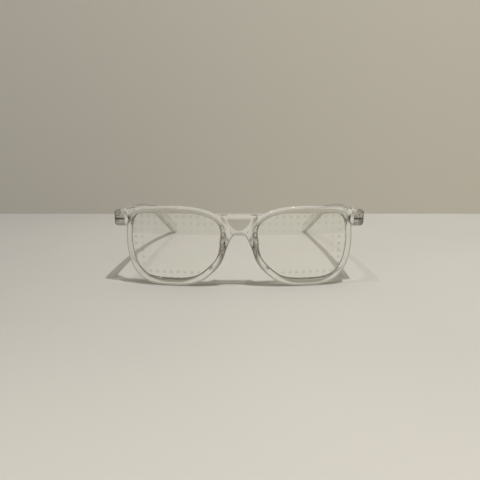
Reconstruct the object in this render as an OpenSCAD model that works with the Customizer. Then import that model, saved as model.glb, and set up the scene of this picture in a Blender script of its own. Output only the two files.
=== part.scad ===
/* [Front] */
// Width of the front over its two end pieces
front_w = 146; // [140:0.5:152]
// Width of each lens opening
lens_w = 51.8; // [46:0.2:54]
// Height of each lens opening
lens_h = 39.6; // [34:0.2:44]
// Gap between the two lens openings at the bridge
bridge_gap = 21.2; // [18:0.2:24]
// Radius of the curve that the front follows round the face
front_curve_r = 290; // [220:5:500]
// Depth of the rims from front to back
rim_depth = 4.2; // [3.4:0.1:5]
// Width of the rim above the lens
rim_top = 3.5; // [2.8:0.1:4.5]
// Width of the rim below the lens
rim_bottom = 4.3; // [3:0.1:5.5]
// Width of the rim on the temple side
rim_temple = 3.6; // [2.8:0.1:4.5]
// Width of the rim on the nose side
rim_nose = 3.7; // [2.6:0.1:4]
// Radius on the edges of the moulded front
edge_r = 1.5; // [0.8:0.1:1.6]

/* [Bridge and end pieces] */
// Height of the bridge at the middle
bridge_h = 11.8; // [10:0.2:13]
// Height of the bridge's upper edge above the lens centre line
bridge_top = 18; // [15.6:0.2:19]
// Depth of the bridge from front to back
bridge_depth = 6.6; // [5.8:0.2:8]
// How much shallower the bridge is over the nose than at its sides
bridge_hollow = 1.7; // [0.6:0.1:2.2]
// Height of the end pieces that carry the hinges
end_h = 9.5; // [8.5:0.1:11]
// Height of the middle of the end pieces above the lens centre line
end_v = 15; // [13.5:0.1:16]
// Distance from the front's foremost point back to the hinge joint
joint_y = 16; // [14:0.5:20]

/* [Nose pads] */
// How far the nose pads reach behind the rims
pad_reach = 6.2; // [4:0.2:8]
// Point of the lens outline beside which a nose pad ends, counted down from the bridge
pad_end = 4.4; // [3:0.1:4.8]
// Thickness of a nose pad
pad_t = 3.2; // [2.4:0.1:4]
// Outward splay of a nose pad over its reach
pad_splay = 1.6; // [0:0.1:3]

/* [Lenses] */
// Thickness of the clear lens pane
pane_t = 0.8; // [0.6:0.05:1.1]
// Thickness of the diffraction grating film
film_t = 0.2; // [0.1:0.05:0.3]
// Gap left for the bond between pane and film
bond_gap = 0.02; // [0.01:0.01:0.05]
// Depth of the groove that holds the pane
groove_d = 0.9; // [0.6:0.1:1.2]
// Play of the pane inside its groove
groove_play = 0.12; // [0.05:0.01:0.2]
// How much smaller than the pane the film is cut
film_margin = 0.3; // [0.1:0.1:0.5]

/* [Temples] */
// Length of a temple along its middle line
temple_len = 146; // [130:1:155]
// Angle by which a temple curves down along its side
side_angle = 8; // [0:1:12]
// Length from the joint to the ear bend
ear_start = 82; // [70:1:95]
// Length of the ear bend
ear_run = 22; // [15:1:30]
// Angle of the ear bend
ear_angle = 17; // [12:1:24]
// Radius of the temple's inward bow
bow_r = 720; // [600:10:1500]
// Height of a temple at its hinge
temple_h = 9; // [7.5:0.1:10.5]
// Height of a temple before the ear
temple_mid_h = 6.6; // [5.5:0.1:8]
// Height of a temple over the ear
temple_ear_h = 8.4; // [6.5:0.1:10]
// Thickness of a temple at its hinge
temple_t = 4; // [3.4:0.1:5]
// Thickness of a temple along its length
temple_mid_t = 3.3; // [2.6:0.1:4]
// Gap between an open temple and its end piece
joint_gap = 0.15; // [0.1:0.05:0.4]

/* [Hinges] */
// Radius of the hinge barrel
barrel_r = 1.25; // [1.1:0.05:1.4]
// How far the hinge sits below the middle of the end piece
hinge_drop = 1.8; // [0:0.1:1.9]
// Distance of the hinge axis inside the temple's inner face
axis_inset = 0.9; // [0.7:0.05:1.1]
// Height of each knuckle on the front
front_knuckle = 1; // [0.8:0.05:1.1]
// Height of each knuckle on the temple
temple_knuckle = 0.9; // [0.7:0.05:1]
// Axial play between two knuckles
knuckle_play = 0.06; // [0.04:0.01:0.1]
// Radius of the hinge screw's shank
screw_r = 0.6; // [0.5:0.05:0.7]
// Radial play of the screw in the temple knuckles
screw_play = 0.05; // [0.03:0.01:0.08]
// Radial play of the screw in the front knuckles
screw_seat = 0.02; // [0.01:0.01:0.03]
// Radius of the screw head
head_r = 1; // [0.9:0.05:1.2]
// Height of the screw head
head_h = 0.5; // [0.4:0.05:0.7]
// Thickness of a hinge leaf
leaf_t = 1; // [0.8:0.05:1.2]
// Length of the leaf set in a temple
leaf_len = 8; // [6:0.5:10]
// Clearance round a leaf in its moulded pocket
leaf_play = 0.05; // [0.03:0.01:0.1]
// Clearance round the turning barrel
barrel_play = 0.25; // [0.2:0.05:0.4]

/* [Hidden] */

// Colours of the clear plastic, the film and the hinge metal
clear_plastic = [0.93, 0.92, 0.88, 0.45];
clear_film = [0.86, 0.90, 0.84, 0.6];
hinge_metal = [0.62, 0.61, 0.64];

// Lens opening as shares of its half width and half height, from the nose over the bottom
lens_shape = [
    [-1, 0.40], [-0.99, 0.10], [-0.96, -0.15], [-0.87, -0.42], [-0.70, -0.67], [-0.49, -0.88],
    [-0.22, -0.98], [0.13, -1], [0.46, -0.98], [0.70, -0.87], [0.87, -0.63], [0.965, -0.29],
    [1, 0.12], [0.98, 0.50], [0.925, 0.77], [0.80, 0.92], [0.52, 0.96], [0.06, 0.985],
    [-0.33, 0.965], [-0.66, 0.875], [-0.87, 0.735], [-0.97, 0.59]
];
// Lower edge of the bridge from the middle outwards: distance in from the nose side of the
// opening, where 0 stands for the middle itself, and drop below the arch
arch_shape = [[7, 0.6], [5, 4], [2.6, 9.9]];
// Upper edge of the bridge in the same way, with its rise above the bridge's top
brow_shape = [[3.2, 0], [0.2, 0.2], [-2.2, 0.4]];
// Share of the way to the middle at which the bridge is deepest
deep_share = 0.54;
// How much sooner the bridge reaches its full depth at its lower edge than at its upper one
low_rise = 1.7;
// Share of the way to the middle over which the bridge's end sinks into the rim
end_share = 0.11;
// Share by which the bridge's edge radius shrinks at that end
end_thin = 0.65;
// Slant of the brow, as its drop in depth over the whole height against the hollow
brow_slope = 1.2;
// Extra radius on the upper front edge of the bridge
brow_r = 0.5;
// Reach of a nose pad from its top to its lower end, as shares of the greatest reach
pad_shape = [0.62, 1, 0.8, 0.5, 0.25, 0];
// Share by which a nose pad gets thinner to its lower end
pad_taper = 0.4;
// Point of the lens outline beside which a nose pad starts
pad_start = 0.3;
// Lower and upper edge of an end piece: distance out from the temple side of the opening and
// height, for its sections up to the hinge, and how far back each of them goes
lug_low = [[-9, 19.6], [-3.6, 18.8], [0.4, 16], [2, 11.9], [3.4, 10.6]];
lug_high = [[-9.4, 0.3], [-2.8, 0.4], [1, 0.53], [2.7, 0.61], [4.4, 0.69]];
lug_front = [0.5, 0.45, 0.4, 0.35, 0.35, 0.5, 1.3];
lug_back = [0, 0.06, 0.22, 0.5, 1, 1, 1];
// How far inside the rim's back an end piece begins
lug_sink = 0.3;
// Points that the outline gets on each stretch between two shape points
outline_steps = 3;
// Points on each rounded edge of a section
corner_steps = 2;
// How far the bridge's front lies behind the rims'
bridge_inset = 0.4;
// Width and height of the slope at the end piece's outer corners
corner_w = 1.2;
corner_h = 0.9;

// Places worked out from the driving sizes
lens_x = (bridge_gap + lens_w) / 2;
lens_z = lens_h / 2 + rim_bottom;
end_z = lens_z + end_v;
hinge_z = end_z - hinge_drop;
half_w = front_w / 2;
temple_in_x = half_w - temple_t;
axis_x = temple_in_x - axis_inset;
lens_stack = pane_t + bond_gap + film_t;
pane_front = (rim_depth - lens_stack) / 2;
barrel_h = 3 * front_knuckle + 2 * temple_knuckle + 4 * knuckle_play;
pocket_r = barrel_r + barrel_play;
leaf_h = barrel_h - 2 * knuckle_play - front_knuckle;
arm_len = 2.4;

// Depth of the front's curve at a distance x from the middle
function sag(x) = front_curve_r - sqrt(front_curve_r * front_curve_r - x * x);

// Point on a smooth curve between b and c, with a and d as its neighbours
function between(a, b, c, d, t) =
    0.5 * (2 * b + (c - a) * t + (2 * a - 5 * b + 4 * c - d) * t * t + (3 * b - a - 3 * c + d) * t * t * t);

// Smooth closed curve through a ring of points
function closed_curve(p, steps) = [
    for (i = [0:len(p) - 1], j = [0:steps - 1])
        let (n = len(p))
        between(p[(i + n - 1) % n], p[i], p[(i + 1) % n], p[(i + 2) % n], j / steps)
];

// Smooth open curve through a row of points
function open_curve(p, steps) = [
    for (k = [0:(len(p) - 1) * steps])
        let (n = len(p), i = min(floor(k / steps), n - 2))
        between(p[max(i - 1, 0)], p[i], p[i + 1], p[min(i + 2, n - 1)], k / steps - i)
];

function unit(v) = v / norm(v);
function ease(t) = let (c = min(max(t, 0), 1)) c * c * (3 - 2 * c);

// Direction away from the opening at one point of its outline
function outward(p, i) =
    let (n = len(p), d = unit(p[(i + 1) % n] - p[(i + n - 1) % n])) [d[1], -d[0]];

// Lens opening of one side, in the plane of the front
aperture = closed_curve(
    [for (q = lens_shape) [lens_x + q[0] * lens_w / 2, q[1] * lens_h / 2]], outline_steps);

// Width of the rim in one direction from the opening
function rim_width(d) =
    let (side = d[0] > 0 ? rim_temple : rim_nose, level = d[1] > 0 ? rim_top : rim_bottom)
    side * d[0] * d[0] + level * d[1] * d[1];

// Lens opening grown outwards by a distance
function grown(by) = [for (i = [0:len(aperture) - 1]) aperture[i] + by * outward(aperture, i)];

rim_outer = [
    for (i = [0:len(aperture) - 1])
        let (d = outward(aperture, i)) aperture[i] + rim_width(d) * d
];

// Quarter arc of a section's corner, from angle a on
function corner(c, r, a) = [
    for (k = [0:corner_steps]) c + r * [cos(a + 90 * k / corner_steps), sin(a + 90 * k / corner_steps)]
];

// Section l long and t deep with its four corners rounded by r
function section(l, t, r) =
    concat(corner([r, r], r, 180), corner([l - r, r], r, 270),
           corner([l - r, t - r], r, 0), corner([r, t - r], r, 90));

// Section laid from point a to point b of the front, starting f behind the front's curve
function placed(a, b, f, t, r) =
    let (d = unit(b - a))
    [for (q = section(norm(b - a), t, r))
        let (x = a[0] + d[0] * q[0]) [x, sag(x) + f + q[1], lens_z + a[1] + d[1] * q[0]]];

// Solid through a row of sections, closed into a ring or capped at its two ends
module loft(rings, closed) {
    n = len(rings);
    m = len(rings[0]);
    last = closed ? n - 1 : n - 2;
    walls = [
        for (i = [0:last], k = [0:m - 1])
            let (a = i * m + k, b = i * m + (k + 1) % m,
                 c = ((i + 1) % n) * m + (k + 1) % m, d = ((i + 1) % n) * m + k)
            each [[a, b, c], [a, c, d]]
    ];
    first_cap = [for (k = [1:m - 2]) [0, k + 1, k]];
    last_cap = [for (k = [1:m - 2]) [(n - 1) * m, (n - 1) * m + k, (n - 1) * m + k + 1]];
    polyhedron(
        points = [for (r = rings) each r],
        faces = closed ? walls : concat(walls, first_cap, last_cap), convexity = 6);
}

// Rim round one lens opening, on the +X side
module rim() {
    loft([for (i = [len(aperture) - 1:-1:0])
        placed(aperture[i], rim_outer[i], 0, rim_depth, edge_r)], true);
}

// Groove that takes the edge of the pane and its film
module lens_groove() {
    lens_sheet(groove_d, pane_front - groove_play, pane_front + lens_stack + groove_play);
}

// Depth of the bridge at one of its sections, w of the way from its end to its middle and
// h of the way up: it swells from the rims, and is hollowed over the nose under a slanting brow
function bridge_back(w, h) =
    let (end = rim_depth - edge_r - bridge_inset, swell = bridge_depth - end)
    w < deep_share
        ? end + swell * (w / deep_share * h + min(low_rise * w / deep_share, 1) * (1 - h))
        : let (c = (1 - w) / (1 - deep_share))
          bridge_depth - bridge_hollow * min(1 - c * c * c, brow_slope * (1 - h));

// Section of the bridge from point a to point b, drawn like the plain ones but for its back,
// and sunk into the rim near its end so that the rim keeps its rounded edge
function bridge_section(a, b, w) =
    let (d = unit(b - a), l = norm(b - a), sunk = max(1 - w / end_share, 0),
         front = bridge_inset + (edge_r - bridge_inset) * sunk, r = edge_r * (1 - end_thin * sunk),
         top_r = r + brow_r * ease(w / deep_share),
         back = function (h) bridge_back(w, h) - front + bridge_inset)
    [for (q = concat(
            corner([r, r], r, 180), corner([l - top_r, top_r], top_r, 270),
            corner([l - r, back(1) - r], r, 0),
            [for (h = [0.75:-0.15:0.15]) [h * l, back(h)]],
            corner([r, back(0) - r], r, 90)))
        let (x = a[0] + d[0] * q[0]) [x, sag(x) + front + q[1], lens_z + a[1] + d[1] * q[0]]];

// Bridge between the rims, arched below
module bridge() {
    nose_x = bridge_gap / 2;
    arch_v = bridge_top - bridge_h;
    low = concat([[0, arch_v]], [for (q = arch_shape) [nose_x - q[0], arch_v - q[1]]]);
    high = concat([[0, bridge_top]], [for (q = brow_shape) [nose_x - q[0], bridge_top + q[1]]]);
    function both_sides(p) = open_curve(
        concat([for (i = [len(p) - 1:-1:1]) [-p[i][0], p[i][1]]], p), outline_steps);
    lows = both_sides(low);
    highs = both_sides(high);
    n = len(lows) - 1;
    loft([for (i = [0:n]) bridge_section(lows[i], highs[i], 2 * min(i, n - i) / n)], false);
}

// End piece that runs from the brow back to the hinge joint, on the +X side
module end_piece() {
    brow_v = lens_h / 2 + rim_top;
    top_v = end_v + end_h / 2;
    low_v = end_v - end_h / 2;
    rim_x = lens_x + lens_w / 2;
    low = concat(
        [for (q = lug_low) [rim_x + q[0], q[1]]], [[half_w - corner_w, low_v], [half_w, low_v + corner_h]]);
    high = concat(
        [for (q = lug_high) [rim_x + q[0], brow_v + (top_v - brow_v) * q[1]]],
        [[half_w - corner_w, top_v], [half_w, top_v - corner_h]]);
    full = joint_y - sag(rim_x) + 1;
    intersection() {
        loft([for (i = [0:len(low) - 1])
            placed(low[i], high[i], lug_front[i],
                   rim_depth - lug_sink + (full - rim_depth) * lug_back[i] - lug_front[i], edge_r)], false);
        translate([0, -1, 0]) cube([half_w, joint_y + 1, 2 * end_z]);
    }
}

// Nose pad moulded on the back of one rim, on the +X side
module nose_pad() {
    steps = len(pad_shape) - 1;
    module blade(i) {
        thin = pad_t * (1 - pad_taper * pow(i / steps, 2));
        // Place on the rim, with the pad's side flush with the rim's nose side
        at = (pad_start + (pad_end - pad_start) * i / steps) * outline_steps;
        k = floor(at);
        c = rim_outer[k] + (rim_outer[k + 1] - rim_outer[k]) * (at - k) - outward(aperture, k) * thin / 2;
        y = sag(c[0]) + rim_depth - 1;
        translate([c[0], y, lens_z + c[1]]) sphere(d = thin, $fn = 16);
        lip = pad_shape[i] * [pad_splay, pad_reach];
        translate([c[0] + lip[0], y + 1 + lip[1] - thin / 2, lens_z + c[1]])
            sphere(d = thin - 0.4, $fn = 16);
    }
    for (i = [0:steps - 1]) hull() {
        blade(i);
        blade(i + 1);
    }
}

// Pocket for the leaf and the barrel of the hinge in an end piece, on the +X side
module front_hinge_pocket() {
    front_leaf(leaf_play);
    translate([axis_x, joint_y, hinge_z - barrel_h / 2 - head_h - barrel_play])
        cylinder(r = pocket_r, h = barrel_h + 2 * (head_h + barrel_play), $fn = 32);
}

// Moves a piece from the front's foremost point to the model's origin, mirrored on side 1
module on_side(side) {
    translate([0, -mid_y, 0]) mirror([side, 0, 0]) children();
}

module front_frame() {
    color(clear_plastic) on_side(0) difference() {
        union() {
            bridge();
            for (side = [0, 1]) mirror([side, 0, 0]) {
                rim();
                end_piece();
                nose_pad();
            }
        }
        for (side = [0, 1]) mirror([side, 0, 0]) {
            lens_groove();
            front_hinge_pocket();
        }
    }
}

// Sheet cut to the lens outline and bent to the front's curve, on the +X side
module lens_sheet(grow, from, to) {
    difference() {
        intersection() {
            translate([0, front_curve_r / 4, lens_z]) rotate([90, 0, 0])
                linear_extrude(height = front_curve_r / 2) polygon(grown(grow));
            translate([0, front_curve_r + from, 0])
                cylinder(r = front_curve_r, h = 2 * lens_z, $fn = 720);
        }
        translate([0, front_curve_r + to, -1])
            cylinder(r = front_curve_r, h = 2 * lens_z + 2, $fn = 720);
    }
}

module lens_pane(side) {
    color(clear_plastic) on_side(side)
        lens_sheet(groove_d - groove_play, pane_front, pane_front + pane_t);
}

module grating_film(side) {
    color(clear_film) on_side(side)
        lens_sheet(groove_d - groove_play - film_margin,
                   pane_front + pane_t + bond_gap, pane_front + lens_stack);
}

// Level of the lower end of knuckle i, counted from the bottom of the barrel
function knuckle_z(i) =
    hinge_z - barrel_h / 2 + ceil(i / 2) * front_knuckle + floor(i / 2) * temple_knuckle + i * knuckle_play;

// Plate moulded into the end piece with the arms that carry its knuckles, grown by some play
module front_leaf(play) {
    back = joint_y - arm_len;
    translate([axis_x - barrel_r - play, back - leaf_t - play, hinge_z - barrel_h / 2 - play])
        cube([temple_t + barrel_r + 2 * play, leaf_t + 2 * play, barrel_h + 2 * play]);
    translate([axis_x - barrel_r - play, back - leaf_t / 2, hinge_z - barrel_h / 2 - play])
        cube([2 * (barrel_r + play), arm_len + leaf_t, barrel_h + 2 * play]);
}

// One knuckle with the arm that joins it to its leaf, towards -Y or +Y
module knuckle(i, h, dir, bore) {
    translate([axis_x, joint_y, knuckle_z(i)]) difference() {
        union() {
            cylinder(r = barrel_r, h = h, $fn = 48);
            if (dir < 0) translate([-barrel_r, -arm_len - leaf_t / 2, 0])
                cube([2 * barrel_r, arm_len + leaf_t / 2, h]);
            else cube([axis_inset + leaf_t, arm_len, h]);
        }
        translate([0, 0, -1]) cylinder(r = bore, h = h + 2, $fn = 48);
    }
}

module front_hinge(side) {
    color(hinge_metal) on_side(side) {
        for (i = [0, 2, 4]) knuckle(i, front_knuckle, -1, screw_r + screw_seat);
        translate([axis_x - barrel_r, joint_y - arm_len - leaf_t, hinge_z - barrel_h / 2])
            cube([temple_t + barrel_r, leaf_t, barrel_h]);
    }
}

// Plate set in the temple's inner face, grown by some play
module temple_leaf(play) {
    translate([temple_in_x, joint_y + 1 - play, hinge_z - leaf_h / 2 - play])
        cube([leaf_t + play, leaf_len + 2 * play, leaf_h + 2 * play]);
}

module temple_hinge(side) {
    color(hinge_metal) on_side(side) {
        for (i = [1, 3]) knuckle(i, temple_knuckle, 1, screw_r + screw_play);
        temple_leaf(0);
    }
}

module hinge_screw(side) {
    slot_w = 0.3;
    color(hinge_metal) on_side(side) translate([axis_x, joint_y, hinge_z - barrel_h / 2])
        difference() {
            union() {
                cylinder(r = screw_r, h = barrel_h, $fn = 48);
                translate([0, 0, barrel_h]) cylinder(r = head_r, h = head_h, $fn = 48);
            }
            translate([-head_r - 1, -slot_w / 2, barrel_h + head_h / 2])
                cube([2 * head_r + 2, slot_w, head_h]);
        }
}

// Angle at length s by which a temple has turned down from its direction at the joint
function turned_down(s) =
    side_angle * ease((s - 26) / 44) + ear_angle * ease((s - ear_start) / ear_run);

// Middle line of a temple, walked in steps of a millimetre, as [along, drop] in its first direction
walk = [
    for (k = 0, p = [0, 0]; k <= temple_len + 1;
         p = p + [cos(turned_down(k + 0.5)), sin(turned_down(k + 0.5))], k = k + 1) p
];
function walked(s) = let (i = floor(s)) walk[i] + (walk[i + 1] - walk[i]) * (s - i);
function along(s) = walked(s)[0];
function drop(s) = walked(s)[1];

// Slope at which the round tips just touch the ground
tip_r = temple_ear_h / 2;
tip_s = temple_len - tip_r;
temple_slope = asin((end_z - tip_r) / norm(walked(tip_s))) - atan2(drop(tip_s), along(tip_s));

// How full the temple's round tip still is at length s
function tip_share(s) = sqrt(max(1 - pow(max(s - tip_s, 0) / tip_r, 2), 0.004));
function temple_height(s) =
    let (side = temple_h + (temple_mid_h - temple_h) * ease(s / 55))
    (side + (temple_ear_h - side) * ease((s - ear_start) / 34)) * tip_share(s);
function temple_thick(s) =
    (temple_t + (temple_mid_t - temple_t) * ease(s / 40)) * (0.35 + 0.65 * tip_share(s));

// Section of the +X temple at length s, upright at the joint and square to the middle line after it
function temple_ring(s) =
    let (t = temple_thick(s), h = temple_height(s), r = min(edge_r, h / 2.2, t / 2.2),
         square = ease(s / 15), lean = square * (temple_slope + turned_down(s)),
         turn = square * asin(along(s) / bow_r),
         x = half_w - temple_t / 2 - pow(along(s), 2) / (2 * bow_r),
         y = joint_y + joint_gap + along(s) * cos(temple_slope) - drop(s) * sin(temple_slope),
         z = end_z - along(s) * sin(temple_slope) - drop(s) * cos(temple_slope))
    [for (q = section(t, h, r))
        let (out = q[0] - t / 2, up = q[1] - h / 2)
        [x + out * cos(turn), y + out * sin(turn) + up * sin(lean), z + up * cos(lean)]];

temple_stations = concat(
    [0, 3, 7, 11], [for (s = [15:7:tip_s - 5]) s],
    [for (a = [0:18:90]) tip_s + tip_r * sin(a)]
);

// Half the depth of the open glasses, from the front's foremost point to the temples' tips
mid_y = max([for (s = temple_stations) each [for (q = temple_ring(s)) q[1]]]) / 2;

module temple(side) {
    color(clear_plastic) on_side(side) difference() {
        loft([for (s = temple_stations) temple_ring(s)], false);
        translate([-leaf_play, 0, 0]) temple_leaf(leaf_play);
        translate([axis_x, joint_y, hinge_z - barrel_h / 2 - head_h - barrel_play])
            cylinder(r = pocket_r, h = barrel_h + 2 * (head_h + barrel_play), $fn = 48);
        translate([axis_x, joint_y, hinge_z - barrel_h / 2 - barrel_play])
            cube([axis_inset + leaf_t + leaf_play, arm_len + leaf_play, barrel_h + 2 * barrel_play]);
    }
}

front_frame();
lens_pane(0);  // lens_pane_left
lens_pane(1);  // lens_pane_right
grating_film(0);  // grating_film_left
grating_film(1);  // grating_film_right
front_hinge(0);  // front_hinge_left
front_hinge(1);  // front_hinge_right
temple_hinge(0);  // temple_hinge_left
temple_hinge(1);  // temple_hinge_right
hinge_screw(0);  // hinge_screw_left
hinge_screw(1);  // hinge_screw_right
temple(0);  // temple_left
temple(1);  // temple_right
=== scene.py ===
"""Looks of a pair of clear plastic diffraction glasses, built round their CAD model."""

import math

import bmesh
import bpy
import numpy as np
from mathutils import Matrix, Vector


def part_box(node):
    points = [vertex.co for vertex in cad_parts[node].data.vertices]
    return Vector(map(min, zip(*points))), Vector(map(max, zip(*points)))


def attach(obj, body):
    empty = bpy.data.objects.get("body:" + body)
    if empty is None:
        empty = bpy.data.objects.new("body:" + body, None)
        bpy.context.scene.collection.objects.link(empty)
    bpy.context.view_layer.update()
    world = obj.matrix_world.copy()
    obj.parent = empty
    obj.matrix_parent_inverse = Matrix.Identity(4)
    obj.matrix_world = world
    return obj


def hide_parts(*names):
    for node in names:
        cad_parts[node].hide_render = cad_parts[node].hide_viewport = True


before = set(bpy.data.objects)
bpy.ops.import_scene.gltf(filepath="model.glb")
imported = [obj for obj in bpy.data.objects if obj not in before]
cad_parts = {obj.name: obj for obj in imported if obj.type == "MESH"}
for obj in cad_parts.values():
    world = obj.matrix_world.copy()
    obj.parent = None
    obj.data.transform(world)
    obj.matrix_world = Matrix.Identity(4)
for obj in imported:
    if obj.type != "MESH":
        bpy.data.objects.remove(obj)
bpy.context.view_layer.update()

# Sizes in millimetres, the same as the construction's
MM = 0.001
FRONT_W = 146
LENS_W = 51.8
LENS_H = 39.6
BRIDGE_GAP = 21.2
FRONT_CURVE_R = 290
RIM_DEPTH = 4.2
RIM_TOP = 3.5
RIM_BOTTOM = 4.3
RIM_TEMPLE = 3.6
RIM_NOSE = 3.7
EDGE_R = 1.5
BRIDGE_H = 11.8
BRIDGE_TOP = 18
BRIDGE_DEPTH = 6.6
BRIDGE_HOLLOW = 1.7
END_H = 9.5
END_V = 15
JOINT_Y = 16
PAD_REACH = 6.2
PAD_END = 4.4
PAD_T = 3.2
PAD_SPLAY = 1.6
PANE_T = 0.8
FILM_T = 0.2
BOND_GAP = 0.02
GROOVE_D = 0.9
GROOVE_PLAY = 0.12
FILM_MARGIN = 0.3
TEMPLE_LEN = 146
SIDE_ANGLE = 8
EAR_START = 82
EAR_RUN = 22
EAR_ANGLE = 17
BOW_R = 720
TURN_START = 26
TURN_RUN = 44
NARROW_RUN = 55
THIN_RUN = 40
EAR_SWELL = 34
UPRIGHT_RUN = 15
TEMPLE_H = 9
TEMPLE_MID_H = 6.6
TEMPLE_EAR_H = 8.4
TEMPLE_T = 4
TEMPLE_MID_T = 3.3
JOINT_GAP = 0.15
BARREL_R = 1.25
HINGE_DROP = 1.8
AXIS_INSET = 0.9
FRONT_KNUCKLE = 1
TEMPLE_KNUCKLE = 0.9
KNUCKLE_PLAY = 0.06
HEAD_H = 0.5
LEAF_T = 1
LEAF_LEN = 8
LEAF_PLAY = 0.05
BARREL_PLAY = 0.25
ARM_LEN = 2.4
PAD_START = 0.3
PAD_TAPER = 0.4
BRIDGE_INSET = 0.4
DEEP_SHARE = 0.54
LOW_RISE = 1.7
BROW_R = 0.5
END_SHARE = 0.11
END_THIN = 0.65
BROW_SLOPE = 1.2
CORNER_W = 1.2
CORNER_H = 0.9
LUG_SINK = 0.3
GROOVE_INSIDE = 1.5
LENS_BREAK = 0.08
TEMPLE_BREAK = 0.25
METAL_BREAK = 0.08

# Places worked out from those sizes
LENS_X = (BRIDGE_GAP + LENS_W) / 2
LENS_Z = LENS_H / 2 + RIM_BOTTOM
END_Z = LENS_Z + END_V
HINGE_Z = END_Z - HINGE_DROP
HALF_W = FRONT_W / 2
TEMPLE_IN_X = HALF_W - TEMPLE_T
AXIS_X = TEMPLE_IN_X - AXIS_INSET
LENS_STACK = PANE_T + BOND_GAP + FILM_T
PANE_FRONT = (RIM_DEPTH - LENS_STACK) / 2
BARREL_H = 3 * FRONT_KNUCKLE + 2 * TEMPLE_KNUCKLE + 4 * KNUCKLE_PLAY
LEAF_H = BARREL_H - 2 * KNUCKLE_PLAY - FRONT_KNUCKLE
# The model's origin lies half way from the front's foremost point to the temples' tips
ORIGIN = np.array([0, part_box("temple_left")[1].y / MM, 0])

# Lens opening as shares of its half width and half height, from the nose over the bottom
LENS_SHAPE = [
    (-1, 0.40), (-0.99, 0.10), (-0.96, -0.15), (-0.87, -0.42), (-0.70, -0.67), (-0.49, -0.88),
    (-0.22, -0.98), (0.13, -1), (0.46, -0.98), (0.70, -0.87), (0.87, -0.63), (0.965, -0.29),
    (1, 0.12), (0.98, 0.50), (0.925, 0.77), (0.80, 0.92), (0.52, 0.96), (0.06, 0.985),
    (-0.33, 0.965), (-0.66, 0.875), (-0.87, 0.735), (-0.97, 0.59),
]
# Lower and upper edge of the bridge: distance in from the opening's nose side, drop or rise
ARCH_SHAPE = [(7, 0.6), (5, 4), (2.6, 9.9)]
BROW_SHAPE = [(3.2, 0), (0.2, 0.2), (-2.2, 0.4)]
# Reach of a nose pad from its top to its lower end
PAD_SHAPE = [0.62, 1, 0.8, 0.5, 0.25, 0]
# Lower and upper edge of an end piece up to the hinge, its front and how far back it goes
LUG_LOW = [(-9, 19.6), (-3.6, 18.8), (0.4, 16), (2, 11.9), (3.4, 10.6)]
LUG_HIGH = [(-9.4, 0.3), (-2.8, 0.4), (1, 0.53), (2.7, 0.61), (4.4, 0.69)]
LUG_FRONT = [0.5, 0.45, 0.4, 0.35, 0.35, 0.5, 1.3]
LUG_BACK = [0, 0.06, 0.22, 0.5, 1, 1, 1]
# Points of the finer outlines, of a rounded edge, of a pad's reach and of a round pocket
OUTLINE_STEPS = 12
CORNER_STEPS = 6
PAD_STEPS = 3
ROUND_STEPS = 48
# Rings of faces across a lens, millimetres from ring to ring of a temple, and turn at its tip
LENS_RINGS = 14
TEMPLE_STEP = 1.5
TIP_TURN = 6
# Grain at which the front is melted together, and how often its corners are eased
MOULDING_GRAIN = 0.3
EASINGS = 18

# Tints of lamp light that has passed a clear piece straight and at a slant
THICK_STRAIGHT = (0.58, 0.57, 0.55, 1)
THICK_SLANTING = (0.12, 0.115, 0.105, 1)
THIN_STRAIGHT = (0.97, 0.97, 0.96, 1)
THIN_SLANTING = (0.75, 0.75, 0.74, 1)
# Tint of light that gets out after many mirrorings, and the painted shade on the slanting edges and
# sides of thick plastic
MIRRORED_OUT = (0.52, 0.51, 0.46, 1)
PAINTED_EDGE_SHADE = (0.17, 0.16, 0.135, 1)


def add_camera():
    """The photograph's camera, looking a little down on the glasses from in front."""
    camera = bpy.data.cameras.new("camera")
    camera.sensor_width = 36
    camera.lens = 36
    tilt_down = 13.2
    held = bpy.data.objects.new("camera", camera)
    held.location = (0.0005, -0.3437, 0.0906)
    held.rotation_euler = (math.radians(90 - tilt_down), 0, 0)
    bpy.context.scene.collection.objects.link(held)
    bpy.context.scene.camera = held


# Curves and sections, in millimetres, with y counted back from the front's foremost point


def sag(x):
    """Depth of the front's curve at a distance x from the middle."""
    return FRONT_CURVE_R - math.sqrt(FRONT_CURVE_R ** 2 - x * x)


def between(a, b, c, d, t):
    """Point on a smooth curve between b and c, with a and d as its neighbours."""
    return 0.5 * (2 * b + (c - a) * t + (2 * a - 5 * b + 4 * c - d) * t ** 2
                  + (3 * b - a - 3 * c + d) * t ** 3)


def closed_curve(points, steps):
    """Smooth closed curve through a ring of points."""
    p = np.array(points, float)
    n = len(p)
    return np.array([
        between(p[i - 1], p[i], p[(i + 1) % n], p[(i + 2) % n], j / steps)
        for i in range(n) for j in range(steps)
    ])


def open_curve(points, steps):
    """Smooth open curve through a row of points."""
    p = np.array(points, float)
    n = len(p)
    row = []
    for k in range((n - 1) * steps + 1):
        i = min(k // steps, n - 2)
        row.append(between(p[max(i - 1, 0)], p[i], p[i + 1], p[min(i + 2, n - 1)], k / steps - i))
    return np.array(row)


def ease(t):
    """Smooth step from 0 to 1."""
    c = min(max(t, 0), 1)
    return c * c * (3 - 2 * c)


def outwards(outline):
    """Directions away from the opening along its outline."""
    run = np.roll(outline, -1, axis=0) - np.roll(outline, 1, axis=0)
    run /= np.linalg.norm(run, axis=1)[:, None]
    return np.stack([run[:, 1], -run[:, 0]], axis=1)


def lens_opening():
    """Outline of the opening on the +X side, in the plane of the front."""
    return closed_curve(
        [(LENS_X + x * LENS_W / 2, v * LENS_H / 2) for x, v in LENS_SHAPE], OUTLINE_STEPS)


OPENING = lens_opening()
OUT = outwards(OPENING)


def grown(by):
    """Lens opening grown outwards by a distance."""
    return OPENING + by * OUT


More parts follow.
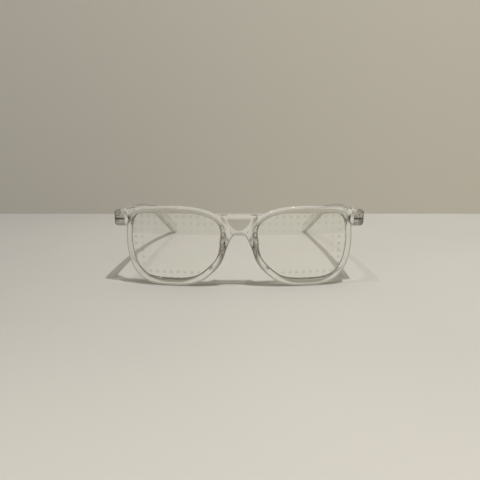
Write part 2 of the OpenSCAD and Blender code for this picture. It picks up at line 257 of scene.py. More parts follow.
def rim_edge():
    """Outer edge of the rim, whose width follows the direction from the opening."""
    side = np.where(OUT[:, 0] > 0, RIM_TEMPLE, RIM_NOSE)
    level = np.where(OUT[:, 1] > 0, RIM_TOP, RIM_BOTTOM)
    return OPENING + (side * OUT[:, 0] ** 2 + level * OUT[:, 1] ** 2)[:, None] * OUT


def corner(cx, cy, r, start):
    """Quarter arc of a section's corner."""
    turns = (math.radians(start + 90 * k / CORNER_STEPS) for k in range(CORNER_STEPS + 1))
    return [(cx + r * math.cos(a), cy + r * math.sin(a)) for a in turns]


def section(length, depth, r):
    """Section with its four corners rounded by r, or sharp for 0."""
    if r == 0:
        return [(0, 0), (length, 0), (length, depth), (0, depth)]
    return (corner(r, r, r, 180) + corner(length - r, r, r, 270)
            + corner(length - r, depth - r, r, 0) + corner(r, depth - r, r, 90))


def laid(a, b, inset, shape):
    """Section of a given shape laid from point a to point b, starting behind the curved face."""
    d = (np.array(b) - a) / math.dist(a, b)
    return [(a[0] + d[0] * along, sag(a[0] + d[0] * along) + inset + back,
             LENS_Z + a[1] + d[1] * along) for along, back in shape]


def placed(a, b, inset, depth, r):
    """Plain section with rounded corners, laid from point a to point b of the front."""
    return laid(a, b, inset, section(math.dist(a, b), depth, r))


def bridge_back(w, h):
    """Depth of the bridge, w of the way from its end to its middle and h of the way up."""
    end = RIM_DEPTH - EDGE_R - BRIDGE_INSET
    swell = BRIDGE_DEPTH - end
    if w < DEEP_SHARE:
        return end + swell * (w / DEEP_SHARE * h + min(LOW_RISE * w / DEEP_SHARE, 1) * (1 - h))
    c = (1 - w) / (1 - DEEP_SHARE)
    return BRIDGE_DEPTH - BRIDGE_HOLLOW * min(1 - c ** 3, BROW_SLOPE * (1 - h))


def bridge_section(a, b, w):
    """Section of the bridge from point a to point b, hollowed over the nose under its brow."""
    length = math.dist(a, b)
    sunk = max(1 - w / END_SHARE, 0)
    front = BRIDGE_INSET + (EDGE_R - BRIDGE_INSET) * sunk
    r = EDGE_R * (1 - END_THIN * sunk)
    top_r = r + BROW_R * ease(w / DEEP_SHARE)
    low, high = (bridge_back(w, h) - front + BRIDGE_INSET for h in (0, 1))
    back = [(h * length, bridge_back(w, h) - front + BRIDGE_INSET)
            for h in np.linspace(0.88, 0.12, 20)]
    return laid(a, b, front, corner(r, r, r, 180) + corner(length - top_r, top_r, top_r, 270)
                + corner(length - r, high - r, r, 0) + back + corner(r, low - r, r, 90))


# Meshes


def new_piece(name, points, faces, side=1):
    """Object of a closed mesh, given in millimetres and mirrored for side -1."""
    places = (np.array(points, float) * (side, 1, 1) - ORIGIN) * MM
    mesh = bpy.data.meshes.new(name)
    mesh.from_pydata(places.tolist(), [], faces)
    form = bmesh.new()
    form.from_mesh(mesh)
    bmesh.ops.recalc_face_normals(form, faces=form.faces)
    form.to_mesh(mesh)
    form.free()
    piece = bpy.data.objects.new(name, mesh)
    bpy.context.scene.collection.objects.link(piece)
    return piece


def loft(name, rings, closed, side=1):
    """Solid through a row of sections, closed into a ring or capped at its two ends."""
    rings = np.array(rings, float)
    rows, width = rings.shape[:2]
    faces = []
    for i in range(rows if closed else rows - 1):
        near, far = i * width, (i + 1) % rows * width
        for k in range(width):
            turn = (k + 1) % width
            faces.append((near + k, near + turn, far + turn, far + k))
    if not closed:
        faces.append(tuple(range(width)))
        faces.append(tuple(range((rows - 1) * width, rows * width)))
    return new_piece(name, rings.reshape(-1, 3), faces, side)


def block(name, low, high, side=1):
    """Cutter with flat sides."""
    (x0, y0, z0), (x1, y1, z1) = low, high
    ring = [(x0, y0), (x1, y0), (x1, y1), (x0, y1)]
    return loft(name, [[(x, y, z) for x, y in ring] for z in (z0, z1)], False, side)


def barrel_pocket(side):
    """Round upright cutter that leaves the hinge's barrel and the screw's head room to turn."""
    half_h = BARREL_H / 2 + HEAD_H + BARREL_PLAY
    r = BARREL_R + BARREL_PLAY
    turns = [math.tau * k / ROUND_STEPS for k in range(ROUND_STEPS)]
    return loft("barrel", [
        [(AXIS_X + r * math.cos(a), JOINT_Y + r * math.sin(a), z) for a in turns]
        for z in (HINGE_Z - half_h, HINGE_Z + half_h)], False, side)


def settle(piece):
    """Makes what the modifiers give the piece's own mesh, and takes them off."""
    bpy.context.view_layer.update()
    shown = piece.evaluated_get(bpy.context.evaluated_depsgraph_get())
    mesh = bpy.data.meshes.new_from_object(shown)
    piece.modifiers.clear()
    piece.data = mesh


def joined(name, parts):
    """One object from several."""
    form = bmesh.new()
    for part in parts:
        form.from_mesh(part.data)
        bpy.data.objects.remove(part)
    mesh = bpy.data.meshes.new(name)
    form.to_mesh(mesh)
    form.free()
    piece = bpy.data.objects.new(name, mesh)
    bpy.context.scene.collection.objects.link(piece)
    return piece


def cut(piece, cutters):
    """Takes the cutters' space out of the piece."""
    for cutter in cutters:
        taken = piece.modifiers.new(cutter.name, "BOOLEAN")
        taken.operation = "DIFFERENCE"
        taken.solver = "EXACT"
        taken.object = cutter
        settle(piece)
        bpy.data.objects.remove(cutter)
    return piece


def polish(piece, sharp=38):
    """Smooth shading with the edges above an angle kept crisp."""
    mesh = piece.data
    mesh.shade_smooth()
    mesh.set_sharp_from_angle(angle=math.radians(sharp))
    return piece


# The front


def rim(side):
    """Ring of plastic round one lens opening."""
    edge = rim_edge()
    return loft("rim", [placed(OPENING[i], edge[i], 0, RIM_DEPTH, EDGE_R)
                        for i in range(len(edge))], True, side)


def bridge():
    """Bridge between the rims, arched below and deepest beside the nose."""
    nose = BRIDGE_GAP / 2
    arch = BRIDGE_TOP - BRIDGE_H
    low = [(0, arch)] + [(nose - x, arch - drop) for x, drop in ARCH_SHAPE]
    high = [(0, BRIDGE_TOP)] + [(nose - x, BRIDGE_TOP + rise) for x, rise in BROW_SHAPE]
    lows, highs = (open_curve([(-x, v) for x, v in row[:0:-1]] + row, OUTLINE_STEPS)
                   for row in (low, high))
    last = len(lows) - 1
    return loft("bridge", [bridge_section(lows[i], highs[i], 2 * min(i, last - i) / last)
                           for i in range(last + 1)], False)


def end_piece(side):
    """End piece that runs from the brow back past the hinge joint."""
    brow = LENS_H / 2 + RIM_TOP
    top = END_V + END_H / 2
    base = END_V - END_H / 2
    rim_x = LENS_X + LENS_W / 2
    low = [(rim_x + x, v) for x, v in LUG_LOW]
    low += [(HALF_W - CORNER_W, base), (HALF_W, base + CORNER_H)]
    high = [(rim_x + x, brow + (top - brow) * fall) for x, fall in LUG_HIGH]
    high += [(HALF_W - CORNER_W, top), (HALF_W, top - CORNER_H)]
    full = JOINT_Y - sag(rim_x) + 1
    rings = [placed(low[i], high[i], LUG_FRONT[i],
                    RIM_DEPTH - LUG_SINK + (full - RIM_DEPTH) * LUG_BACK[i] - LUG_FRONT[i], EDGE_R)
             for i in range(len(low))]
    return loft("end_piece", rings, False, side)


def nose_pad(side):
    """Pad moulded on the back of one rim beside the nose."""
    edge = rim_edge()
    reaches = open_curve([(share, 0) for share in PAD_SHAPE], PAD_STEPS)[:, 0]
    balls = []
    for i, reach in enumerate(reaches):
        share = i / (len(reaches) - 1)
        r = PAD_T / 2 * (1 - PAD_TAPER * share ** 2)
        k = round((PAD_START + (PAD_END - PAD_START) * share) * OUTLINE_STEPS)
        x, v = edge[k] - OUT[k] * r
        y = sag(x) + RIM_DEPTH - 1
        balls.append([((x, y, LENS_Z + v), r),
                      ((x + PAD_SPLAY * reach, y + 1 + PAD_REACH * reach - r, LENS_Z + v), r - 0.2)])
    parts = []
    for pair, next_pair in zip(balls, balls[1:]):
        form = bmesh.new()
        for centre, r in pair + next_pair:
            ball = bmesh.ops.create_uvsphere(form, u_segments=16, v_segments=10, radius=r)
            bmesh.ops.translate(form, verts=ball["verts"], vec=centre)
        hull = bmesh.ops.convex_hull(form, input=form.verts)
        spare = {g for g in hull["geom_interior"] + hull["geom_unused"]
                 if isinstance(g, bmesh.types.BMVert)}
        bmesh.ops.delete(form, geom=list(spare), context="VERTS")
        form.verts.index_update()
        parts.append(new_piece(
            "pad", [v.co[:] for v in form.verts],
            [[v.index for v in f.verts] for f in form.faces], side))
        form.free()
    return joined("pad", parts)


def lens_groove(side):
    """Cutter of the groove that takes the edge of the lens and its film."""
    inner, outer = grown(-GROOVE_INSIDE), grown(GROOVE_D)
    return loft("groove", [placed(inner[i], outer[i], PANE_FRONT - GROOVE_PLAY,
                                  LENS_STACK + 2 * GROOVE_PLAY, 0)
                           for i in range(len(inner))], True, side)


def front_hinge_pockets(side):
    """Cutters of the pocket for the hinge's leaf, arms and barrel in an end piece."""
    back = JOINT_Y - ARM_LEN
    low_z = HINGE_Z - BARREL_H / 2 - LEAF_PLAY
    high_z = HINGE_Z + BARREL_H / 2 + LEAF_PLAY
    inner_x = AXIS_X - BARREL_R - LEAF_PLAY
    return [
        block("leaf", (inner_x, back - LEAF_T - LEAF_PLAY, low_z),
              (AXIS_X + TEMPLE_T + LEAF_PLAY, back + LEAF_PLAY, high_z), side),
        block("arms", (inner_x, back - LEAF_T / 2, low_z),
              (AXIS_X + BARREL_R + LEAF_PLAY, JOINT_Y + LEAF_T, high_z), side),
        barrel_pocket(side),
    ]


def moulded_front():
    """The one-piece front: rims, bridge, end pieces and nose pads blended into each other."""
    parts = [bridge()]
    for side in (1, -1):
        parts += [rim(side), end_piece(side), nose_pad(side)]
    piece = joined("front_moulding", parts)
    melt = piece.modifiers.new("melt", "REMESH")
    melt.mode = "VOXEL"
    melt.voxel_size = MOULDING_GRAIN * MM
    ease_off = piece.modifiers.new("ease_off", "SMOOTH")
    ease_off.factor = 0.5
    ease_off.iterations = EASINGS
    settle(piece)
    far = 90
    cutters = [block("joint_faces", (-far, JOINT_Y, -far), (far, JOINT_Y + far, far))]
    for side in (1, -1):
        cutters.append(lens_groove(side))
        cutters += front_hinge_pockets(side)
    return polish(cut(piece, cutters))


# The lenses


def lens_sheet(name, grow, start, depth, side):
    """Sheet cut to the lens outline and bent to the front's curve, with broken edges."""
    chamfer = min(LENS_BREAK, depth / 3)
    centre = np.array([LENS_X, 0])
    outline = grown(grow)
    inner = outline - chamfer * OUT
    shares = [k / LENS_RINGS for k in range(1, LENS_RINGS + 1)]
    levels = [inner * share + centre * (1 - share) for share in shares]
    n = len(outline)
    points = [(LENS_X, sag(LENS_X) + start, LENS_Z)]
    for row in levels:
        points += [(x, sag(x) + start, LENS_Z + v) for x, v in row]
    points += [(x, sag(x) + start + chamfer, LENS_Z + v) for x, v in outline]
    points += [(x, sag(x) + start + depth - chamfer, LENS_Z + v) for x, v in outline]
    for row in levels[::-1]:
        points += [(x, sag(x) + start + depth, LENS_Z + v) for x, v in row]
    points.append((LENS_X, sag(LENS_X) + start + depth, LENS_Z))
    last = len(points) - 1
    faces = []
    for k in range(n):
        turn = (k + 1) % n
        faces.append((0, 1 + turn, 1 + k))
        faces.append((last, last - n + k, last - n + turn))
        for row in range((last - 1) // n - 1):
            a, b = 1 + row * n, 1 + (row + 1) * n
            faces.append((a + k, a + turn, b + turn, b + k))
    return polish(new_piece(name, points, faces, side), 30)


def lens_pane(side):
    """Clear pane that sits in the groove of one rim."""
    return lens_sheet(side_name("lens", side), GROOVE_D - GROOVE_PLAY, PANE_FRONT, PANE_T, side)


def diffraction_film(side):
    """Grating film that lies behind one pane."""
    return lens_sheet(side_name("diffraction_film", side), GROOVE_D - GROOVE_PLAY - FILM_MARGIN,
                      PANE_FRONT + PANE_T + BOND_GAP, FILM_T, side)


def side_name(name, side):
    """Name with the wearer's side: the wearer's left lies towards +X."""
    return name + ("_left" if side > 0 else "_right")


# The temples


def turned_down(s):
    """Angle at length s by which a temple has turned down from its direction at the joint."""
    gentle = SIDE_ANGLE * ease((s - TURN_START) / TURN_RUN)
    return gentle + EAR_ANGLE * ease((s - EAR_START) / EAR_RUN)


def middle_line():
    """Middle line of a temple, walked in steps of a millimetre, as (along, drop)."""
    row = [np.zeros(2)]
    for k in range(TEMPLE_LEN + 2):
        a = math.radians(turned_down(k + 0.5))
        row.append(row[-1] + (math.cos(a), math.sin(a)))
    return row


WALK = middle_line()
TIP_R = TEMPLE_EAR_H / 2
TIP_S = TEMPLE_LEN - TIP_R


def walked(s):
    """Point of the middle line at length s."""
    i = int(s)
    return WALK[i] + (WALK[i + 1] - WALK[i]) * (s - i)


def resting_slope():
    """Slope at which the round tips just touch the ground."""
    along, drop = walked(TIP_S)
    return math.asin((END_Z - TIP_R) / math.hypot(along, drop)) - math.atan2(drop, along)


SLOPE = resting_slope()


def temple_ring(s, shrink=0):
    """Section of the +X temple at length s, upright at the joint and square to its line after it."""
    tip = math.sqrt(max(1 - (max(s - TIP_S, 0) / TIP_R) ** 2, 0.004))
    side_h = TEMPLE_H + (TEMPLE_MID_H - TEMPLE_H) * ease(s / NARROW_RUN)
    h = (side_h + (TEMPLE_EAR_H - side_h) * ease((s - EAR_START) / EAR_SWELL)) * tip - 2 * shrink
    side_t = TEMPLE_T + (TEMPLE_MID_T - TEMPLE_T) * ease(s / THIN_RUN)
    t = side_t * (0.35 + 0.65 * tip) - 2 * shrink
    r = min(EDGE_R, h / 2.2, t / 2.2)
    along, drop = walked(s)
    square = ease(s / UPRIGHT_RUN)
    lean = square * (SLOPE + math.radians(turned_down(s)))
    turn = square * math.asin(along / BOW_R)
    x = HALF_W - TEMPLE_T / 2 - along ** 2 / (2 * BOW_R)
    y = JOINT_Y + JOINT_GAP + along * math.cos(SLOPE) - drop * math.sin(SLOPE)
    z = END_Z - along * math.sin(SLOPE) - drop * math.cos(SLOPE)
    ring = []
    for q, p in section(t, h, r):
        out, up = q - t / 2, p - h / 2
        ring.append((x + out * math.cos(turn), y + out * math.sin(turn) + up * math.sin(lean),
                     z + up * math.cos(lean)))
    return ring


def temple_arm(side):
    """Temple with the pockets for its hinge leaf and the barrel."""
    stations = list(np.arange(TEMPLE_STEP, TIP_S - 1, TEMPLE_STEP))
    stations += [TIP_S + TIP_R * math.sin(math.radians(a)) for a in range(0, 91, TIP_TURN)]
    rings = [temple_ring(0, TEMPLE_BREAK), temple_ring(TEMPLE_BREAK)]
    rings += [temple_ring(s) for s in stations]
    piece = loft(side_name("temple_arm", side), rings, False, side)
    # The pocket's floor keeps clear of the leaf, because faces that touch would show black
    floor_x = TEMPLE_IN_X + LEAF_T + LEAF_PLAY
    leaf_y = JOINT_Y + 1
    leaf_up = LEAF_H / 2 + LEAF_PLAY
    arm_up = BARREL_H / 2 + BARREL_PLAY
    return polish(cut(piece, [
        block("leaf", (TEMPLE_IN_X - 1, leaf_y - LEAF_PLAY, HINGE_Z - leaf_up),
              (floor_x, leaf_y + LEAF_LEN + LEAF_PLAY, HINGE_Z + leaf_up), side),
        block("arms", (AXIS_X, JOINT_Y - 1, HINGE_Z - arm_up),
              (floor_x, JOINT_Y + ARM_LEN + LEAF_PLAY, HINGE_Z + arm_up), side),
        barrel_pocket(side),
    ]))


# Shader helpers


def put(tree, kind, settings=(), **inputs):
    """Adds a node, sets its own settings, and gives its named inputs a value or a link."""
    made = tree.nodes.new("ShaderNode" + kind)
    for name, value in dict(settings).items():
        setattr(made, name, value)
    for name, value in inputs.items():
        feed(tree, made.inputs[name.replace("_", " ")], value)
    return made


def feed(tree, socket, value):
    """Links a socket to a socket, or sets its number or colour."""
    if isinstance(value, bpy.types.NodeSocket):
        tree.links.new(value, socket)
    else:
        socket.default_value = value


def calc(tree, operation, *values):
    """Result of one Math node."""
    made = put(tree, "Math", {"operation": operation})
    for socket, value in zip(made.inputs, values):
        feed(tree, socket, value)
    return made.outputs[0]


def mixed(tree, share, a, b):
    """Colour between a and b."""
    made = put(tree, "Mix", {"data_type": "RGBA"})
    for socket, value in zip((made.inputs[0], made.inputs[6], made.inputs[7]), (share, a, b)):
        feed(tree, socket, value)
    return made.outputs[2]


def spread(tree, value, low, high, to_low=0.0, to_high=1.0):
    """Value stretched smoothly from one range to another."""
    made = put(tree, "MapRange", {"interpolation_type": "SMOOTHSTEP"}, Value=value)
    for name, number in (("From Min", low), ("From Max", high), ("To Min", to_low),
                         ("To Max", to_high)):
        feed(tree, made.inputs[name], number)
    return made.outputs[0]


def noise(tree, where, scale, detail=3.0, roughness=0.5):
    """Noise value at a place."""
    made = put(tree, "TexNoise", Vector=where, Detail=detail, Roughness=roughness)
    feed(tree, made.inputs["Scale"], scale)
    return made.outputs[0]


def along_axes(tree, space):
    """X, Y and Z of the surface's place or direction, as the Texture Coordinate node gives it."""
    return put(tree, "SeparateXYZ", Vector=put(tree, "TexCoord").outputs[space]).outputs


def show_both(tree, output, share, first, second):
    """Shows the first shader, and the second one by its share."""
    both = put(tree, "MixShader")
    feed(tree, both.inputs[0], share)
    feed(tree, both.inputs[1], first.outputs[0])
    feed(tree, both.inputs[2], second.outputs[0])
    tree.links.new(both.outputs[0], output.inputs["Surface"])


def rgb(red, green, blue):
    """Linear colour from its 8-bit screen values."""
    parts = [c / 255 for c in (red, green, blue)]
    return tuple(c / 12.92 if c <= 0.04045 else ((c + 0.055) / 1.055) ** 2.4 for c in parts) + (1,)


def new_effect(name, inputs, outputs):
    """Node group with named number inputs and outputs, and the place where it reads the surface."""
    tree = bpy.data.node_groups.new(name, "ShaderNodeTree")
    for label, value in inputs.items():
        socket = tree.interface.new_socket(label, in_out="INPUT", socket_type="NodeSocketFloat")
        socket.default_value = value
    for label in outputs:
        tree.interface.new_socket(label, in_out="OUTPUT", socket_type="NodeSocketFloat")
    source = tree.nodes.new("NodeGroupInput")
    sink = tree.nodes.new("NodeGroupOutput")
    where = put(tree, "TexCoord").outputs["Object"]
    return tree, source.outputs, sink.inputs, where


def handling_marks():
    """Hazy finger marks and hairline scratches of a thing that is picked up often."""
    tree, given, made, where = new_effect(
        "handling_marks", {"Mark Scale": 70, "Scratch Scale": 900, "Scratch Share": 0.5},
        ("Haze", "Scratches"))
    blots = spread(tree, noise(tree, where, given["Mark Scale"], 4), 0.48, 0.72)
    skin = noise(tree, where, calc(tree, "MULTIPLY", given["Mark Scale"], 22), 2)
    ridges = calc(tree, "ADD", 0.55, calc(tree, "MULTIPLY", skin, 0.6))
    haze = calc(tree, "MULTIPLY", blots, ridges)
    tree.links.new(haze, made["Haze"])
    strokes = []
    for angle in (0.5, 1.9):
        turned = put(tree, "Mapping", Vector=where, Rotation=(0.2, angle, 0.6), Scale=(1, 1, 0.03))
        line = noise(tree, turned.outputs[0], given["Scratch Scale"], 1)
        strokes.append(calc(tree, "COMPARE", line, 0.5, 0.012))
    wide = calc(tree, "MULTIPLY", given["Scratch Scale"], 0.3)
    rare = spread(tree, noise(tree, where, wide, 1), 0.5, 0.62)
    kept = calc(tree, "MULTIPLY", calc(tree, "MAXIMUM", *strokes), rare)
    kept = calc(tree, "MULTIPLY", kept, given["Scratch Share"])
    tree.links.new(kept, made["Scratches"])
    return tree


def mould_flow():
    """Faint waves and sink marks that injection moulding leaves in a thick clear part."""
    tree, given, made, where = new_effect("mould_flow", {"Wave Scale": 60, "Wave Height": 1},
                                          ("Height",))
    long_waves = put(tree, "Mapping", Vector=where, Scale=(0.35, 0.35, 1))
    waves = noise(tree, long_waves.outputs[0], given["Wave Scale"], 1.5, 0.4)
    tree.links.new(calc(tree, "MULTIPLY", waves, given["Wave Height"]), made["Height"])
    return tree


def metal_grain():
    """Brushed grain and dull spots of small stamped steel parts."""
    tree, given, made, where = new_effect(
        "metal_grain", {"Grain Scale": 2500, "Spot Scale": 500}, ("Grain", "Spots"))
    drawn = put(tree, "Mapping", Vector=where, Scale=(1, 1, 0.06))
    tree.links.new(noise(tree, drawn.outputs[0], given["Grain Scale"], 2), made["Grain"])
    tree.links.new(spread(tree, noise(tree, where, given["Spot Scale"], 4), 0.45, 0.7),
                   made["Spots"])
    return tree


def new_material(name):
    """Material with its Principled shader, its output, and its node tree."""
    material = bpy.data.materials.new(name)
    material.use_nodes = True
    tree = material.node_tree
    return material, tree, tree.nodes["Principled BSDF"], tree.nodes["Material Output"]


def effect(tree, group, **values):
    """Places an effect in a material with its own values."""
    made = tree.nodes.new("ShaderNodeGroup")
    made.node_tree = group
    for name, value in values.items():
        feed(tree, made.inputs[name.replace("_", " ")], value)
    return made.outputs


def set_values(shader, **values):
    """Numbers and colours that are the same all over the surface."""
    for name, value in values.items():
        shader.inputs[name.replace("_", " ")].default_value = value


def let_light_through(tree, shader, output, straight, slanting):
    """Lets lamp light pass the clear piece, dimmed more where it meets the surface at a slant.

    Light that was mirrored more than three times inside clear pieces gets out too.
    """
    path = put(tree, "LightPath").outputs
    from_lamp = calc(tree, "MAXIMUM", path["Is Shadow Ray"], path["Is Diffuse Ray"])
    slant = put(tree, "LayerWeight", Blend=0.5).outputs["Facing"]
    dimmed = mixed(tree, slant, straight, slanting)
    veil = put(tree, "BsdfTransparent", Color=mixed(tree, from_lamp, MIRRORED_OUT, dimmed))
    trapped = calc(tree, "GREATER_THAN", path["Glossy Depth"], 3)
    show_both(tree, output, calc(tree, "MAXIMUM", from_lamp, trapped), shader, veil)


def painted_side_shade(tree, edge):
    """How dark the painted shade on the front's upright sides is, most of all beside the nose and
    below the bridge, standing in for the dark surroundings seen through the plastic.
    """
    leaning = along_axes(tree, "Normal")["X"]
    upright = calc(tree, "MULTIPLY", spread(tree, edge, 0.15, 0.45),
                   spread(tree, calc(tree, "ABSOLUTE", leaning), 0.3, 0.75))
    place = along_axes(tree, "Object")
    to_nose = calc(tree, "MULTIPLY", leaning, calc(tree, "SIGN", place["X"]))
    beside = calc(tree, "MULTIPLY", spread(tree, to_nose, -0.2, -0.55),
                  spread(tree, calc(tree, "ABSOLUTE", place["X"]), 0.026, 0.016))
    beside = calc(tree, "MULTIPLY", beside, spread(tree, place["Z"], 0.026, 0.022))
    return calc(tree, "MAXIMUM", upright, beside)


def clear_plastic(name, marks, flow, wave_scale, shaded):
    """Water-clear moulded plastic with soft waves, finger marks and hairlines, and painted shade on
    its slanting edges and sides.
    """
    material, tree, shader, output = new_material(name)
    set_values(shader, IOR=1.49, Transmission_Weight=1.0, Specular_IOR_Level=0.5)
    worn = effect(tree, marks, Mark_Scale=55, Scratch_Scale=700, Scratch_Share=0.6)
    body = mixed(tree, worn["Haze"], (0.985, 0.985, 0.965, 1), (0.93, 0.93, 0.905, 1))
    # Painted shade: edges seen at a slant and faces that don't face up get a dark base colour,
    # standing in for the dark surroundings that clear plastic shows there
    edge = put(tree, "LayerWeight", Blend=0.4).outputs["Facing"]
    facing_up = along_axes(tree, "Normal")["Z"]
    outline = calc(tree, "MULTIPLY", spread(tree, edge, 0.45, 0.95),
                   spread(tree, facing_up, 0.8, 0.3))
    # The front also gets painted shade on its upright sides
    if shaded:
        outline = calc(tree, "MAXIMUM", outline, painted_side_shade(tree, edge))
    feed(tree, shader.inputs["Base Color"], mixed(tree, outline, body, PAINTED_EDGE_SHADE))
    feed(tree, shader.inputs["Roughness"],
         calc(tree, "ADD", 0.015, calc(tree, "MULTIPLY", worn["Haze"], 0.05)))
    waves = effect(tree, flow, Wave_Scale=wave_scale, Wave_Height=1)
    height = calc(tree, "SUBTRACT", waves["Height"], calc(tree, "MULTIPLY", worn["Scratches"], 0.02))
    bump = put(tree, "Bump", Strength=0.25, Distance=0.00025, Height=height)
    feed(tree, shader.inputs["Normal"], bump.outputs[0])
    let_light_through(tree, shader, output, THICK_STRAIGHT, THICK_SLANTING)
    return material


def clear_pane(marks):
    """Thin clear lens pane with a trace of handling."""
    material, tree, shader, output = new_material("clear_pane")
    set_values(shader, IOR=1.5, Transmission_Weight=1.0)
    worn = effect(tree, marks, Mark_Scale=38, Scratch_Scale=500, Scratch_Share=0.35)
    feed(tree, shader.inputs["Base Color"],
         mixed(tree, worn["Haze"], (1, 1, 0.985, 1), (0.975, 0.975, 0.96, 1)))
    feed(tree, shader.inputs["Roughness"], calc(tree, "MULTIPLY", worn["Haze"], 0.05))
    bump = put(tree, "Bump", Strength=0.1, Distance=0.00005, Height=worn["Scratches"])
    feed(tree, shader.inputs["Normal"], bump.outputs[0])
    let_light_through(tree, shader, output, THIN_STRAIGHT, THIN_SLANTING)
    return material


def grating(marks):
    """Diffraction film: a grey veil above, soft squares near the rim and pale rainbow tints."""
    material, tree, shader, output = new_material("grating_film")
    set_values(shader, IOR=1.5, Transmission_Weight=1.0, Thin_Film_Thickness=420.0,
               Thin_Film_IOR=1.35)
    where = put(tree, "TexCoord").outputs["Object"]
    parts = put(tree, "SeparateXYZ", Vector=where).outputs
    pitch = 0.0041
    waves = []
    for axis, offset in (("X", 0.0), ("Z", 0.0012)):
        along = calc(tree, "ADD", parts[axis], offset)
        waves.append(calc(tree, "SINE", calc(tree, "MULTIPLY", along, math.tau / pitch)))
    dots = spread(tree, calc(tree, "MINIMUM", *waves), -0.2, 0.7)
    # Shares across the lens opening, 1 at its edge
    across = calc(tree, "SUBTRACT", calc(tree, "ABSOLUTE", parts["X"]), LENS_X * MM)
    across = calc(tree, "DIVIDE", across, LENS_W / 2 * MM)
    up = calc(tree, "SUBTRACT", parts["Z"], LENS_Z * MM)
    up = calc(tree, "DIVIDE", up, LENS_H / 2 * MM)
    border = calc(tree, "MAXIMUM", spread(tree, up, 0.2, 0.75), spread(tree, up, -0.68, -0.85))
    border = calc(tree, "MAXIMUM", border, spread(tree, across, 0.55, 0.9))
    ghosts = calc(tree, "MULTIPLY", dots, border)
    veil = spread(tree, up, 0.30, 0.34)
    tint = noise(tree, where, 90, 2)
    colour = mixed(tree, spread(tree, tint, 0.35, 0.65), (1, 0.985, 0.978, 1),
                   (0.975, 1, 0.978, 1))
    colour = mixed(tree, calc(tree, "MULTIPLY", veil, 0.6), colour, (0.84, 0.835, 0.81, 1))
    colour = mixed(tree, calc(tree, "MULTIPLY", ghosts, 0.9), colour, (0.76, 0.82, 0.75, 1))
    feed(tree, shader.inputs["Base Color"], colour)
    worn = effect(tree, marks, Mark_Scale=45, Scratch_Scale=500, Scratch_Share=0.2)
    feed(tree, shader.inputs["Roughness"],
         calc(tree, "ADD", 0.02, calc(tree, "MULTIPLY", worn["Haze"], 0.04)))
    bump = put(tree, "Bump", Strength=0.05, Distance=0.00005, Height=dots)
    feed(tree, shader.inputs["Normal"], bump.outputs[0])
    let_light_through(tree, shader, output, THIN_STRAIGHT, THIN_SLANTING)
    return material


def steel(name, colour, dull, grain, marks, roughness, joint_shade):
    """Small plated steel part with brushed grain, dull spots and finger haze.

    Where asked, a dark line of painted shade runs across a hinge leaf and its knuckles, where the
    gap between them falls in shade.
    """
    material, tree, shader, _ = new_material(name)
    set_values(shader, Metallic=1.0)
    cut_marks = effect(tree, grain, Grain_Scale=2600, Spot_Scale=420)
    worn = effect(tree, marks, Mark_Scale=300, Scratch_Scale=3000, Scratch_Share=0.5)
    metal = mixed(tree, cut_marks["Spots"], colour, dull)
    if joint_shade:
        # Painted shade: a dark band across the leaf and its knuckles
        up = along_axes(tree, "Generated")["Z"]
        from_joint_shade = calc(tree, "ABSOLUTE", calc(tree, "SUBTRACT", up, 0.74))
        metal = mixed(tree, spread(tree, from_joint_shade, 0.14, 0.08), metal, rgb(58, 55, 50))
    feed(tree, shader.inputs["Base Color"], metal)
    rough = calc(tree, "ADD", roughness, calc(tree, "MULTIPLY", cut_marks["Spots"], 0.18))
    feed(tree, shader.inputs["Roughness"],
         calc(tree, "ADD", rough, calc(tree, "MULTIPLY", worn["Haze"], 0.1)))
    bump = put(tree, "Bump", Strength=0.3, Distance=0.00003, Height=cut_marks["Grain"])
    feed(tree, shader.inputs["Normal"], bump.outputs[0])
    return material


# Surroundings

# Reach of the table and the wall, and the wall's distance behind the model's origin
STAGE_REACH = 3000
WALL_BEHIND = 167
# Distance and width of the lamps, in metres
LAMP_AWAY = 1.6
LAMP_WIDE = 0.06


def table_top():
    """Pale matt table that the glasses stand on, with painted shade towards the far left and painted
    light towards the front.
    """
    corners = [(-STAGE_REACH, -STAGE_REACH, 0), (STAGE_REACH, -STAGE_REACH, 0),
               (STAGE_REACH, STAGE_REACH, 0), (-STAGE_REACH, STAGE_REACH, 0)]
    top = new_piece("table_top", corners, [(0, 1, 2, 3)])
    material, tree, shader, _ = new_material("table_top")
    set_values(shader, Roughness=0.6, Specular_IOR_Level=0.25)
    where = put(tree, "TexCoord").outputs["Object"]
    cloudy = noise(tree, where, 5, 2)
    tone_and_shade = mixed(tree, spread(tree, cloudy, 0.3, 0.7), rgb(191, 189, 183), rgb(195, 193, 186))
    place = put(tree, "SeparateXYZ", Vector=where).outputs
    # Painted shade darkens the table towards the far left, and painted light brightens it towards
    # the front
    tone_and_shade = mixed(tree, spread(tree, place["X"], 0.06, -0.24, 0, 0.6), tone_and_shade, rgb(163, 161, 158))
    near = spread(tree, place["Y"], -0.12, -0.26, 0, 0.5)
    feed(tree, shader.inputs["Base Color"], mixed(tree, near, tone_and_shade, rgb(209, 206, 198)))
    top.data.materials.append(material)


def back_wall():
    """Taupe wall behind the table, which only shows from in front; painted light makes it lighter
    towards the right.
    """
    at = ORIGIN[1] + WALL_BEHIND
    corners = [(-STAGE_REACH, at, 0), (STAGE_REACH, at, 0),
               (STAGE_REACH, at, STAGE_REACH), (-STAGE_REACH, at, STAGE_REACH)]
    wall = new_piece("back_wall", corners, [(0, 1, 2, 3)])
    material, tree, shader, output = new_material("back_wall")
    set_values(shader, Roughness=0.9, Specular_IOR_Level=0.1)
    # Painted light: the wall's colour gets lighter from left to right
    across = spread(tree, along_axes(tree, "Object")["X"], -0.3, 0.3)
    feed(tree, shader.inputs["Base Color"],
         mixed(tree, across, rgb(197, 193, 185), rgb(210, 205, 193)))
    behind = put(tree, "NewGeometry").outputs["Backfacing"]
    show_both(tree, output, behind, shader, put(tree, "BsdfTransparent"))
    wall.data.materials.append(material)


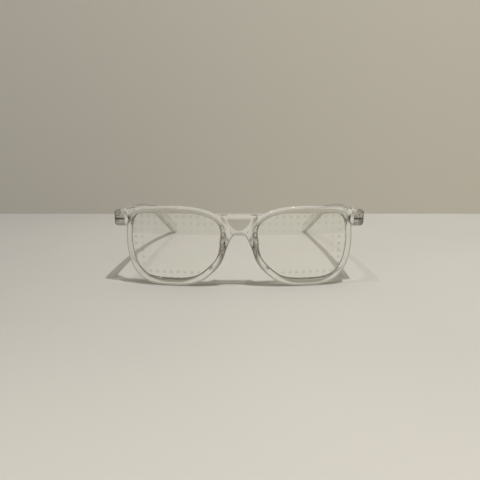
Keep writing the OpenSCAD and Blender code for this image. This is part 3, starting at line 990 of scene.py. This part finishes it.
def room_light():
    """Soft light from all round: taupe near the horizon, pale overhead, and palest in front."""
    world = bpy.data.worlds.new("room")
    world.use_nodes = True
    tree = world.node_tree
    ray = along_axes(tree, "Generated")
    sky = mixed(tree, spread(tree, ray["Z"], 0.05, 0.75), rgb(158, 153, 142), rgb(205, 200, 190))
    ahead = calc(tree, "MULTIPLY", spread(tree, ray["Y"], -0.3, -0.7),
                 spread(tree, ray["Z"], 0.7, 0.5))
    background = tree.nodes["Background"].inputs
    feed(tree, background["Color"], mixed(tree, ahead, sky, rgb(248, 243, 231)))
    background["Strength"].default_value = 0.45
    bpy.context.scene.world = world


def lamp(name, towards, power):
    """Round ceiling lamp that shines on the glasses from one direction."""
    data = bpy.data.lights.new(name, "AREA")
    data.shape = "DISK"
    data.size = LAMP_WIDE
    data.energy = power
    data.color = (1, 0.995, 0.98)
    held = bpy.data.objects.new(name, data)
    from_there = np.array(towards, float) / np.linalg.norm(towards)
    held.location = from_there * LAMP_AWAY
    held.rotation_euler = held.location.to_track_quat("Z", "Y").to_euler()
    bpy.context.scene.collection.objects.link(held)


def light_the_table():
    """Key lamp almost overhead, which sets the shadow, and a fainter one from the left."""
    lamp("key_lamp", (7, -8, 40), 16)
    lamp("second_lamp", (-10, -4, 40), 3.2)
    room_light()


def fit(piece, finish, body, stands_for):
    """Gives a piece its finish and its slot, and sets it on its body in place of a CAD node."""
    piece.data.materials.clear()
    piece.data.materials.append(finish)
    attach(piece, body)
    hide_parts(stands_for)


def plate(metal, finish):
    """Gives a CAD node of the hinge its finish and broken edges."""
    metal.data.materials.clear()
    metal.data.materials.append(finish)
    edge = metal.modifiers.new("broken_edges", "BEVEL")
    edge.width = METAL_BREAK * MM
    edge.segments = 2
    edge.limit_method = "ANGLE"
    edge.harden_normals = True


def assemble():
    """Builds every piece, gives it its finish and sets it on its CAD body."""
    marks, flow, grain = handling_marks(), mould_flow(), metal_grain()
    # Only the front gets the painted shade on its upright sides
    front_plastic = clear_plastic("clear_front", marks, flow, 60, True)
    temple_plastic = clear_plastic("clear_temple", marks, flow, 45, False)
    pane_finish = clear_pane(marks)
    film_finish = grating(marks)
    # The hinge steel gets the painted shade line across its joint, the screws don't
    hinge_steel = steel("hinge_steel", rgb(202, 199, 196), rgb(150, 146, 142), grain, marks, 0.22,
                        True)
    screw_steel = steel("screw_steel", rgb(230, 227, 224), rgb(190, 186, 181), grain, marks, 0.16,
                        False)

    fit(moulded_front(), front_plastic, "front", "front_frame")
    for side in (1, -1):
        hand = "left" if side > 0 else "right"
        fit(lens_pane(side), pane_finish, "front", "lens_pane_" + hand)
        fit(diffraction_film(side), film_finish, "front", "grating_film_" + hand)
        fit(temple_arm(side), temple_plastic, hand + "_temple", "temple_" + hand)
        plate(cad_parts["front_hinge_" + hand], hinge_steel)
        plate(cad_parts["temple_hinge_" + hand], hinge_steel)
        plate(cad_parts["hinge_screw_" + hand], screw_steel)


add_camera()
assemble()
table_top()
back_wall()
light_the_table()

scene = bpy.context.scene
scene.view_settings.view_transform = "Standard"
